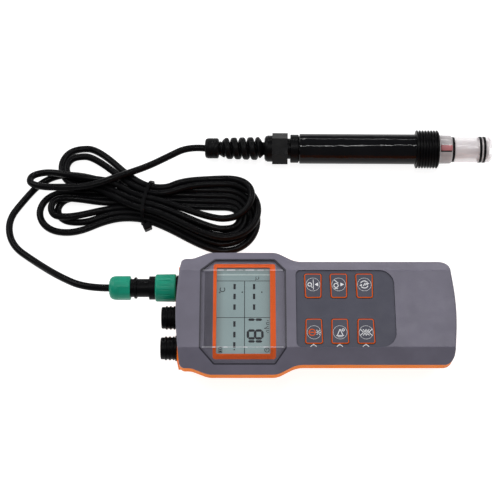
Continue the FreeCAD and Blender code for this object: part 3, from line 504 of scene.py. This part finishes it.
def unit_bars():
    """A small unit, as plain bars and dots."""
    shapes = []
    for index in range(UNIT_BARS):
        v = UNIT_V - UNIT_STEP * index
        shapes.append(rectangle(*on_glass(UNIT_U, v), 1.7 if index % 3 else 1.0, UNIT_LINE))
        if index % 2:
            shapes.append(rectangle(*on_glass(UNIT_U - 0.7, v - 0.5), UNIT_LINE, 0.7))
    return shapes


def cell_sign(x, y):
    """An upright cell with a knob on its end and two bars inside."""
    case = [rounded(rectangle(x, y, 2.2, 3.4), 0.2), rounded(rectangle(x, y, 1.6, 2.8), 0.15)]
    return [case, rectangle(x, y + 1.95, 1.0, 0.5),
            rectangle(x, y - 0.7, 1.2, 0.9), rectangle(x, y + 0.5, 1.2, 0.6)]


def clock_sign(x, y):
    return [ring(x, y, 1.35, 0.34, 32), rectangle(x - 0.35, y, 0.9, 0.3), rectangle(x, y + 0.35, 0.3, 0.9)]


def lcd_marks():
    shapes = dividing_lines()
    for u, rows in DASH_ROWS:
        shapes += [rectangle(*on_glass(u, v), DASH_WIDE, DASH_LONG) for v in rows]
    shapes += [rectangle(*on_glass(u, v), DOT, DOT) for u, v in DOTS]
    for v, bars in DIGITS:
        shapes += digit(DIGIT_U, v, bars)
    for u, v, size in DEGREES:
        shapes += degree_sign(u, v, size)
    shapes += unit_bars() + cell_sign(*on_glass(*CELL_SIGN)) + clock_sign(*on_glass(*CLOCK_SIGN))
    marks("lcd_marks", shapes, GLASS_TOP, "lcd_ink", slot="lcd")
    # A pale line painted along the back of the glass, standing for the reflection of the lens's ridge.
    span = WINDOW[1] - WINDOW[0]
    edge = rectangle(*on_glass(span / 2, REFLECTION_V), span, REFLECTION_WIDE)
    marks("lcd_painted_reflection", [edge], GLASS_TOP, "lcd_painted_reflection", slot="lcd")


def lens_painted_highlights():
    """Painted highlights on the lens's ridges: broken white lines painted where the flat top meets the two
    slopes, in place of the lamps' reflections.
    """
    strips = []
    for y, places in ((LENS_RIDGE, LENS_PAINTED_GLINTS_BACK), (-LENS_RIDGE, LENS_PAINTED_GLINTS_FRONT)):
        strips.append(rectangle((LENS_X0 + LENS_X1) / 2, y, LENS_X1 - LENS_X0, LENS_HIGHLIGHT_LINE))
        strips += [rectangle(x, y, long, wide) for x, long, wide in places]
    marks("lens_painted_highlights", strips, LENS_TOP - LENS_SINK, "lens_highlight_paint", slot="white_plastic")


# ---------------------------------------------------------------- keys
def key_face(column, row, shrink):
    x = KEY_X0 + KEY_PITCH * column
    inner, outer = KEY_IN + shrink, KEY_OUT - shrink
    corners = [(x - KEY_IN_HALF + shrink, row * inner), (x + KEY_IN_HALF - shrink, row * inner),
               (x + KEY_OUT_HALF - shrink, row * outer), (x - KEY_OUT_HALF + shrink, row * outer)]
    if row < 0:
        corners.reverse()
    return rounded(corners, max(KEY_CORNER_LEAST, KEY_CORNER - shrink))


# Each sign is a list of shapes drawn about (x, y), the middle of the key's circle.
def raise_sign(x, y):
    return [triangle(x + 2.2, y, 1.25, 1), rectangle(x + 0.2, y, 0.35, 6.6),
            ring(x - 2.0, y, 1.1, BOLD), slant(x - 0.9, y - 1.5, 1.6, THIN, -55)]


def lower_sign(x, y):
    return [triangle(x + 2.0, y, 1.25, -1), slant(x - 1.4, y + 1.9, 3.2, THIN, -40),
            ring(x - 1.6, y - 0.6, 1.3, BOLD), rectangle(x - 1.6, y - 2.7, 2.2, THIN)]


def cycle_sign(x, y):
    return [stroke(x, y, 2.3, BOLD, 20, 160), stroke(x, y, 2.3, BOLD, 200, 340),
            triangle(x + 2.2, y + 0.6, 0.9, -1), triangle(x - 2.2, y - 0.6, 0.9, 1),
            slant(x, y, 2.6, BOLD, 60), slant(x + 1.1, y + 0.2, 1.8, THIN, 60)]


def light_sign(x, y):
    middle, reach = x + 2.5, 1.35           # the lamp beside the power mark, and the length of its rays
    rays = []
    for degrees in range(0, 360, 60):
        angle = math.radians(degrees)
        rays.append(slant(middle + reach * math.cos(angle), y + reach * math.sin(angle), 0.8, 0.4, degrees))
    return rays + [ring(middle, y, 0.55, 0.3, 20)]


def scale_sign(x, y):
    return [slant(x - 0.9, y, 4.2, THIN, 68), slant(x + 0.9, y, 4.2, THIN, -68),
            rectangle(x, y - 2.0, 4.6, THIN), rectangle(x, y - 2.8, 3.0, 0.35),
            ring(x + 1.9, y + 1.5, 0.7, 0.4, 20)]


def store_sign(x, y):
    return [slant(x + a, y, 5.4, 0.42, degrees) for degrees in (45, -45) for a in (-1.6, 0.0, 1.6)]


SIGNS = {("upper", 1): raise_sign, ("upper", 2): lower_sign, ("upper", 3): cycle_sign,
         ("lower", 1): light_sign, ("lower", 2): scale_sign, ("lower", 3): store_sign}


def legends():
    """White symbols inside thin circles: every one is a plain sign."""
    for (side, number), sign in SIGNS.items():
        row = 1 if side == "upper" else -1
        x, y = KEY_X0 + KEY_PITCH * (number - 1), row * (KEY_Y + LEGEND_OUT)
        body = f"key_{side}_{number}_body"
        face = [key_face(number - 1, row, KEY_RIM)]
        marks(f"key_face_{side}_{number}", face, KEY_TOP, "overlay_slate", body)
        shapes = [ring(x, y, LEGEND_R, LEGEND_LINE)] + sign(x, y)
        marks(f"legend_{side}_{number}", shapes, KEY_TOP + INK, "legend_white", body, "white_plastic")
    x, y = KEY_X0 - POWER_LEFT, -KEY_Y - LEGEND_OUT
    power = [ring(x, y, POWER_R, POWER_LINE), rectangle(x, y, 3.2, POWER_LINE)]
    marks("power_mark", power, KEY_TOP + INK, "frame_orange", "key_lower_1_body")


def overlay_painted_glints():
    """Small white forked strokes painted between the lower keys and the overlay's edge: painted glints of the
    overlay's front ridge, shaped like printed strokes.
    """
    shapes = []
    y = OVERLAY_GLINT_Y
    for column in range(3):
        x = KEY_X0 + KEY_PITCH * column - OVERLAY_GLINT_LEFT
        shapes += [slant(x - 1.0, y, 2.2, 0.4, 40), slant(x + 1.0, y, 2.2, 0.4, -40),
                   rectangle(x, y + 0.7, 0.4, 1.2)]
    marks("overlay_painted_glints", shapes, OVERLAY_TOP, "legend_white", slot="white_plastic")


# ---------------------------------------------------------------- round pieces on the probe's axis
def tube_mesh(name, rings, sides, place):
    """A closed skin through rings of equal count, the last joined to the first. place maps (ring, side)."""
    count = len(rings)
    points = [place(ring_at, 2 * math.pi * side / sides) for ring_at in rings for side in range(sides)]
    faces = []
    for i in range(count):
        here, there = i * sides, (i + 1) % count * sides
        for k in range(sides):
            after = (k + 1) % sides
            faces.append((here + k, here + after, there + after, there + k))
    return mesh_from(name, points, faces)


def rib_radius(x, angle):
    """The strain relief's radius along its ribs, at an angle about its axis."""
    along = (x - RELIEF_X0) / (RELIEF_X1 - RELIEF_X0)
    phase = (x - RELIEF_CREST) / RELIEF_PITCH - angle / (2 * math.pi)
    off = 2 * (phase - round(phase)) / RELIEF_FILL
    rise = math.sqrt(max(0.0, 1 - off ** 4))
    fade = min(1.0, RELIEF_FADE_IN * along, RELIEF_FADE_OUT * (1 - along))
    crest = RELIEF_R0 + (RELIEF_R1 - RELIEF_R0) * along
    return RELIEF_CORE + (crest - RELIEF_CORE) * fade * rise


def strain_relief():
    """A sleeve with an end cap and one helical rib that grows towards the gland."""
    sleeve = [(RELIEF_X0 + (RELIEF_X1 - RELIEF_X0) * i / RELIEF_STEPS, None) for i in range(RELIEF_STEPS + 1)]
    front = [(RELIEF_FRONT, RELIEF_CORE - RELIEF_LIP), (RELIEF_FRONT, RELIEF_BORE)]

    def place(ring_at, angle):
        x, radius = ring_at
        if radius is None:
            radius = rib_radius(x, angle)
        return PROBE @ Vector((x, radius * math.cos(angle), radius * math.sin(angle)))

    mesh = tube_mesh("strain_relief_ribs", list(RELIEF_CAP) + sleeve + front, RELIEF_SIDES, place)
    obj = piece("strain_relief_ribs", mesh, "rubber")
    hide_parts("strain_relief")


def neck_mark(name, material, slot, x0, x1, low, high):
    """A strip that lies round the neck, between two radii."""
    points, faces = [], []
    for radius in (NECK_IN, NECK_OUT):
        for i in range(NECK_COLUMNS + 1):
            x = x0 + (x1 - x0) * i / NECK_COLUMNS
            reach = radius - NECK_TAPER * (x - x0)
            for k in range(NECK_STEPS + 1):
                angle = math.radians(low + (high - low) * k / NECK_STEPS)
                points.append(PROBE @ Vector((x, -reach * math.sin(angle), reach * math.cos(angle))))
    row = NECK_STEPS + 1
    layer = row * (NECK_COLUMNS + 1)
    for base in (0, layer):
        for i in range(NECK_COLUMNS):
            here, there = base + i * row, base + (i + 1) * row
            faces += [(here + k, here + k + 1, there + k + 1, there + k) for k in range(NECK_STEPS)]
    edge = list(range(row)) + [i * row + NECK_STEPS for i in range(1, NECK_COLUMNS + 1)]
    edge += [NECK_COLUMNS * row + k for k in range(NECK_STEPS - 1, -1, -1)]
    edge += [i * row for i in range(NECK_COLUMNS - 1, 0, -1)]
    faces += [(a, b, b + layer, a + layer) for a, b in zip(edge, edge[1:] + edge[:1])]
    piece(name, mesh_from(name, points, faces), material, slot=slot)


# ---------------------------------------------------------------- cable tie
def turned(x, y, z):
    """A point drawn about the middle of the tie."""
    cos, sin = math.cos(TIE_ANGLE), math.sin(TIE_ANGLE)
    return (TIE[0] + x * cos - y * sin, TIE[1] + x * sin + y * cos, z)


def tie_strap():
    """A nylon strap bowed over the bundle."""
    section = closed_curve(TIE_SECTION, STRAP_STEPS)
    corners = [(-STRAP_WIDE, -STRAP_THICK), (STRAP_WIDE, -STRAP_THICK),
               (STRAP_WIDE, STRAP_THICK), (-STRAP_WIDE, STRAP_THICK)]
    points, faces = [], []
    total = len(section)
    for i, here in enumerate(section):
        way = (section[(i + 1) % total] - section[i - 1]).normalized()
        height = min(1.0, max(0.0, (here.y - BOW_FROM) / BOW_RISE))
        lean = -STRAP_BOW * (1 - (here.x / TIE_HALF) ** 2) * height
        for across, out in corners:
            points.append(at(*turned(lean + across, here.x + way.y * out, here.y - way.x * out)))
    for i in range(total):
        here, there = 4 * i, 4 * ((i + 1) % total)
        faces += [(here + k, here + (k + 1) % 4, there + (k + 1) % 4, there + k) for k in range(4)]
    return mesh_from("tie_strap", points, faces)


def tie_head():
    """The lock of the tie, a bevelled block turned on its corner, with the stub of the tail beside it."""
    points, faces = [], []
    turn = Matrix.Rotation(TIE_HEAD_TURN, 2)
    count = 4 * (TIE_HEAD_STEPS + 1)
    for middle, (long, wide), z0, z1, bevel in TIE_HEAD:
        base = len(points)
        for z, inset in ((z0, bevel), (z0 + bevel, 0), (z1 - bevel, 0), (z1, bevel)):
            outline = rectangle(0, 0, long - 2 * inset, wide - 2 * inset)
            for corner in rounded(outline, TIE_HEAD_ROUND, TIE_HEAD_STEPS):
                spot = Vector(middle) + turn @ Vector(corner)
                points.append(at(*turned(spot.x, spot.y, z)))
        for low in range(base, base + 3 * count, count):
            faces += [(low + i, low + (i + 1) % count, low + count + (i + 1) % count, low + count + i)
                      for i in range(count)]
        faces += [list(range(base, base + count)), list(range(base + 3 * count, base + 4 * count))]
    return mesh_from("tie_head", points, faces)


def cable_tie():
    strap = piece("tie_strap", tie_strap(), "black_plastic", smooth=False)
    head = piece("tie_head", tie_head(), "black_plastic", smooth=False)
    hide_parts("cable_tie")
    return [strap, head]


# ---------------------------------------------------------------- cable
def passing(way, lane, z):
    """Two points of a pass through the tie. way is 1 to the right and -1 to the left."""
    return [turned(-way * TIE_PASS, lane, z), turned(way * TIE_PASS, lane, z)]


def lobe(way, end, reach, y_out, y_back, z_out, z_end, z_back):
    """A turn at one end of the hank: a point before it, five round it, and a point after it."""
    centre_x, centre_y = end - way * reach, (y_out + y_back) / 2
    half = (y_out - y_back) / 2
    points = [(centre_x - way * LOBE_LEAD, y_out, z_out)]
    for step in range(-2, 3):
        angle = math.radians(LOBE_STEP * step)
        blend = math.cos(angle) ** 2
        side = z_out if step < 0 else z_back
        points.append((centre_x + way * reach * LOBE_GROW * math.cos(angle),
                       centre_y - half * LOBE_GROW * math.sin(angle), side + (z_end - side) * blend))
    points.append((centre_x - way * LOBE_LEAD, y_back, z_back))
    return points


def beside(lane):
    """Where a turn of the lower left bundle runs side by side with its neighbours."""
    return (BUNDLE_X, BUNDLE_Y + lane, FLOOR_Z)


def cable_route():
    route = list(METER_LEAD)
    for index, ((out, z_out), (back, z_back), over, right) in enumerate(RIGHT):
        route += passing(1, out, z_out) + list(over) + lobe(1, *right) + passing(-1, back, z_back)
        if index == len(LEFT):
            route += LAST_LOOP
            continue
        bundled, left = LEFT[index]
        next_lane = RIGHT[index + 1][0][0]
        route += [beside(back)] * bundled + lobe(-1, *left) + [beside(next_lane)] * bundled
    route += PROBE_LEAD
    return [at(*point) for point in route] + [PROBE @ Vector(point) for point in PROBE_RUN]


def cable(tie):
    """The whole cable as one spline from the plug to the probe, hung on the same body as the tie. The tie
    argument is not used.
    """
    curve = bpy.data.curves.new("cable", "CURVE")
    curve.dimensions = "3D"
    curve.bevel_depth = CABLE_D / 2 / 1000
    curve.bevel_resolution = 6
    curve.resolution_u = 10
    curve.use_fill_caps = True
    spline = curve.splines.new("NURBS")
    route = cable_route()
    spline.points.add(len(route) - 1)
    for point, place in zip(spline.points, route):
        point.co = (*place, 1)
    spline.order_u = 3
    spline.use_endpoint_u = True
    obj = bpy.data.objects.new("cable", curve)
    bpy.context.scene.collection.objects.link(obj)
    curve.materials.append(MATERIALS["cable_black"])
    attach(obj, ROOT)
    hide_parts("cable_lead_meter", "cable_hank", "cable_lead_probe")


# ---------------------------------------------------------------- studio
CAMERA_PLACE, CAMERA_TILT = (-0.05295, -0.27460, 0.69764), math.radians(22)
CAMERA_LENS, CAMERA_SENSOR = 82.8, 36.0
WORLD_LIGHT, FLOOR_GLOW, FLOOR_SIZE = 0.24, 0.9, 16
# name, place, aim, watts, size, and the other size of a strip
LAMPS = (("key", (-0.85, 0.5, 0.9), (0, 0, 0), 5.6, 0.7, None),
         ("fill", (0.85, 0.5, 0.85), (0, 0, 0), 3.4, 0.7, None),
         ("back_strip", (0.0, 0.95, 0.6), (0, 0.05, 0), 3.0, 1.2, 0.04),
         ("top_strip", (0.05, 0.05, 1.15), (0, 0.09, 0), 4.0, 0.9, 0.02))


def camera():
    data = bpy.data.cameras.new("camera")
    data.lens, data.sensor_width = CAMERA_LENS, CAMERA_SENSOR
    obj = bpy.data.objects.new("camera", data)
    obj.location = CAMERA_PLACE
    obj.rotation_euler = (CAMERA_TILT, 0, 0)
    bpy.context.scene.collection.objects.link(obj)
    bpy.context.scene.camera = obj


def area_light(name, place, aim, power, size, size_y):
    data = bpy.data.lights.new(name, "AREA")
    data.energy = power
    data.size = size
    if size_y:
        data.shape, data.size_y = "RECTANGLE", size_y
    obj = bpy.data.objects.new(name, data)
    obj.location = place
    obj.rotation_euler = (Vector(aim) - Vector(place)).to_track_quat("-Z", "Y").to_euler()
    bpy.context.scene.collection.objects.link(obj)


def table():
    """The pale table that everything lies on. It is only the stage, not a piece."""
    bpy.ops.mesh.primitive_plane_add(size=FLOOR_SIZE, location=(0, 0, 0))
    floor = bpy.context.object
    floor.name = "floor"
    nodes = Nodes("floor_white")
    nodes.link(nodes.ramp(nodes.noise(3, 2), (0.35, 0.35, 0.35), (0.37, 0.37, 0.37)),
               nodes.shader.inputs["Base Color"])
    nodes.set(Roughness=0.9, Emission_Strength=FLOOR_GLOW, Emission_Color=(1, 1, 1, 1))
    floor.data.materials.append(nodes.material)


def studio():
    world = bpy.data.worlds.new("studio")
    world.use_nodes = True
    background = world.node_tree.nodes["Background"]
    background.inputs["Color"].default_value = (1, 1, 1, 1)
    background.inputs["Strength"].default_value = WORLD_LIGHT
    bpy.context.scene.world = world
    for lamp in LAMPS:
        area_light(*lamp)
    table()
    bpy.context.scene.view_settings.view_transform = "Standard"


paint_cad_nodes()
lcd_marks()
lens_painted_highlights()
legends()
overlay_painted_glints()
strain_relief()
for strip in NECK_MARKS:
    neck_mark(*strip)
cable(cable_tie())
camera()
studio()
bpy.context.view_layer.update()
